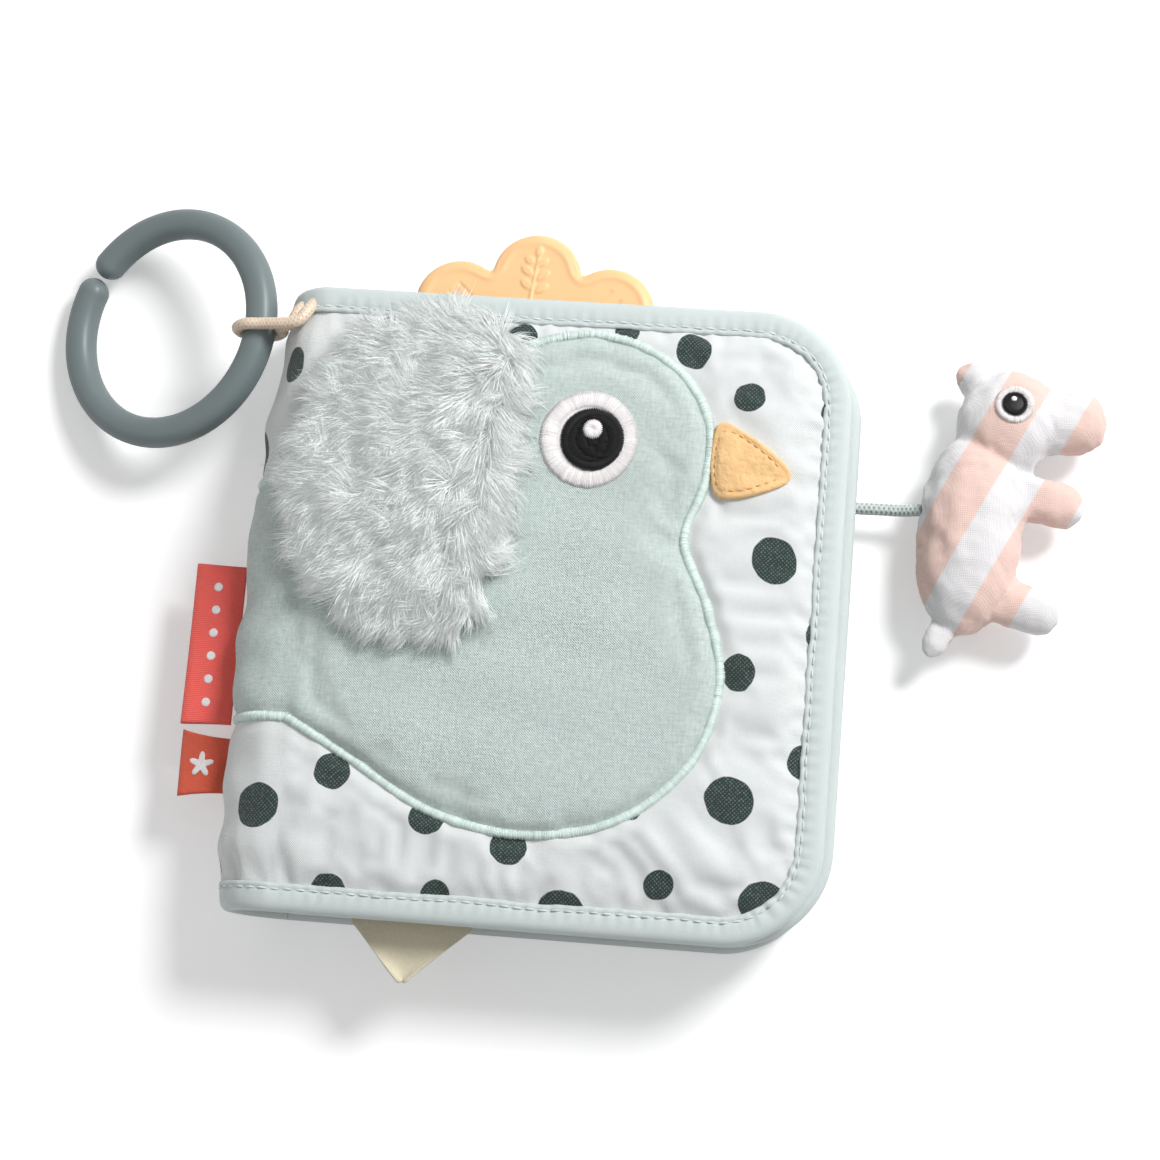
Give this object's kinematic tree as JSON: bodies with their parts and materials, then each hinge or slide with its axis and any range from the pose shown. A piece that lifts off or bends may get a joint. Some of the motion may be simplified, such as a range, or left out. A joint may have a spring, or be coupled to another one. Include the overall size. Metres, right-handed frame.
{
  "type": "baby activity book",
  "caption": "Padded cloth baby book that opens, with a plush flap, teether, clip-on ring on an elastic loop and a stuffed pendant animal on a cord.",
  "frame": {"origin": "on the flat underside of the back cover, below the middle of the front cover's face", "axes": "+X from the spine to the fore-edge, +Y up the page, +Z out of the front cover"},
  "size_m": [0.2753, 0.1976, 0.0472],
  "materials": {
    "cotton": "woven cotton, white with charcoal dots",
    "sage": "sage cotton twill",
    "lining": "pale woven lining",
    "satin_tape": "satin bias tape",
    "mint_thread": "satin-stitch embroidery",
    "wadding": "polyester wadding",
    "crinkle_film": "thin crinkle film",
    "long_pile": "long-pile plush",
    "charcoal_thread": "satin-stitch embroidery",
    "white_thread": "satin-stitch embroidery",
    "apricot_felt": "felt",
    "silicone": "matte food-grade silicone",
    "coral_ribbon": "woven ribbon",
    "rust_ribbon": "woven ribbon",
    "cream_cloth": "thin cream cloth",
    "slate_plastic": "matte moulded plastic",
    "rose_elastic": "braided shiny elastic",
    "toy_cloth": "cotton with blush stripes",
    "grey_cord": "braided cord"
  },
  "bodies": {
    "back_cover": {"back_cover_panel": "cotton", "back_cover_wadding": "wadding", "back_cover_lining": "lining", "back_cover_binding": "satin_tape", "spine_panel": "cotton", "spine_wadding": "wadding", "spine_lining": "lining", "spine_binding_top": "satin_tape", "spine_binding_bottom": "satin_tape", "spine_applique": "sage", "page_gutter": "lining", "ribbon_tag": "coral_ribbon", "woven_tag": "rust_ribbon", "toy_cord_tab": "satin_tape"},
    "front_cover": {"front_cover_panel": "cotton", "front_cover_wadding": "wadding", "front_cover_lining": "lining", "front_cover_binding": "satin_tape", "front_cover_crinkle_film": "crinkle_film", "applique_border": "mint_thread", "applique_bird": "sage", "applique_beak": "apricot_felt", "eye_white": "white_thread", "eye_pupil": "charcoal_thread", "eye_glint": "white_thread", "wing_seam_tape": "satin_tape"},
    "wing": {"wing_backing": "sage", "wing_fur": "long_pile"},
    "leaf_a": {"leaf_a_upper_panel": "cotton", "leaf_a_wadding": "wadding", "leaf_a_lower_panel": "cotton", "leaf_a_binding": "satin_tape", "pointed_flap": "cream_cloth", "teether_strap": "satin_tape"},
    "teether": {"teether": "silicone"},
    "leaf_b": {"leaf_b_upper_panel": "cotton", "leaf_b_wadding": "wadding", "leaf_b_lower_panel": "cotton", "leaf_b_binding": "satin_tape"},
    "elastic": {"elastic_loop": "rose_elastic"},
    "ring": {"clip_ring": "slate_plastic"},
    "toy": {"toy_body": "toy_cloth", "toy_head": "toy_cloth", "toy_muzzle": "toy_cloth", "toy_front_leg": "toy_cloth", "toy_hind_leg": "toy_cloth", "toy_ear": "toy_cloth", "toy_tail": "toy_cloth", "toy_eye": "charcoal_thread", "toy_cord": "grey_cord"}
  },
  "joints": [
    {"name": "cover_hinge", "type": "hinge", "parent": "back_cover", "child": "front_cover", "pos_m": [-0.062, 0, 0.03653], "axis": [0, -1, 0], "range_deg": [0, 145]},
    {"name": "leaf_a_turn", "type": "hinge", "parent": "back_cover", "child": "leaf_a", "pos_m": [-0.05932, 0, 0.01893], "axis": [0, -1, 0], "range_deg": [0, 58]},
    {"name": "leaf_b_turn", "type": "hinge", "parent": "back_cover", "child": "leaf_b", "pos_m": [-0.05932, 0, 0.01243], "axis": [0, -1, 0], "range_deg": [0, 29]},
    {"name": "wing_lift", "type": "hinge", "parent": "front_cover", "child": "wing", "pos_m": [-0.01345, 0.0364, 0.03793], "axis": [-0.0716, -0.9974, 0], "range_deg": [-95, 0]},
    {"name": "teether_swing", "type": "hinge", "parent": "leaf_a", "child": "teether", "pos_m": [-0.01063, 0.0236, 0.02193], "axis": [0, 0, 1], "range_deg": [-8, 8]},
    {"name": "loop_lift", "type": "hinge", "parent": "back_cover", "child": "elastic", "pos_m": [-0.06801, 0.0727, 0.03371], "axis": [0, -1, 0], "range_deg": [-70, 0]},
    {"name": "ring_turn", "type": "hinge", "parent": "elastic", "child": "ring", "pos_m": [-0.10747, 0.0712, 0.01498], "axis": [-0.375, 0, 0.927], "range_deg": [-130, 190]},
    {"name": "toy_swing", "type": "hinge", "parent": "back_cover", "child": "toy", "pos_m": [0.05529, 0.036, 0.00801], "axis": [0, 0, 1], "range_deg": [-15, 15]}
  ],
  "couplings": [
    {"joint": "leaf_a_turn", "follows": "cover_hinge", "ratio": 0.4},
    {"joint": "leaf_b_turn", "follows": "cover_hinge", "ratio": 0.2}
  ]
}
